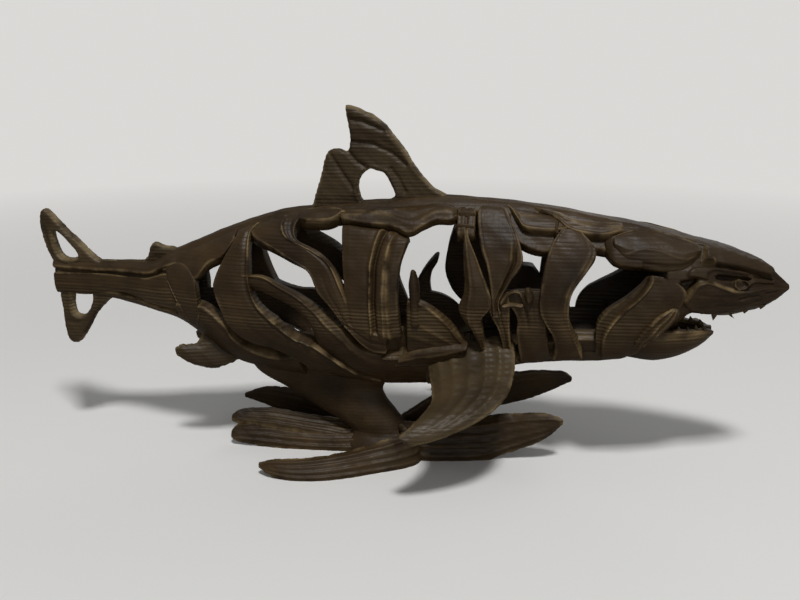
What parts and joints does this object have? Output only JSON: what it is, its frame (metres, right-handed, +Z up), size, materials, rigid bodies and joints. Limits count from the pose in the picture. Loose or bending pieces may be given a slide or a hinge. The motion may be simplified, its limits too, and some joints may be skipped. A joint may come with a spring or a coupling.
{
  "type": "shark figurine",
  "caption": "Shark built of open, overlapping strips round a hollow body, swimming on a stem above a spread of up-curled leaves; one printed piece.",
  "frame": {"origin": "on the surface the figurine stands on, under the foot of its stem", "axes": "+X towards the snout, +Y towards the shark's left flank, +Z up"},
  "size_m": [0.1505, 0.0548, 0.0706],
  "materials": {
    "dark_plastic": "dark brown-black printed plastic, satin, with level print lines"
  },
  "bodies": {
    "root": {"shark_figurine": "dark_plastic"}
  },
  "joints": []
}
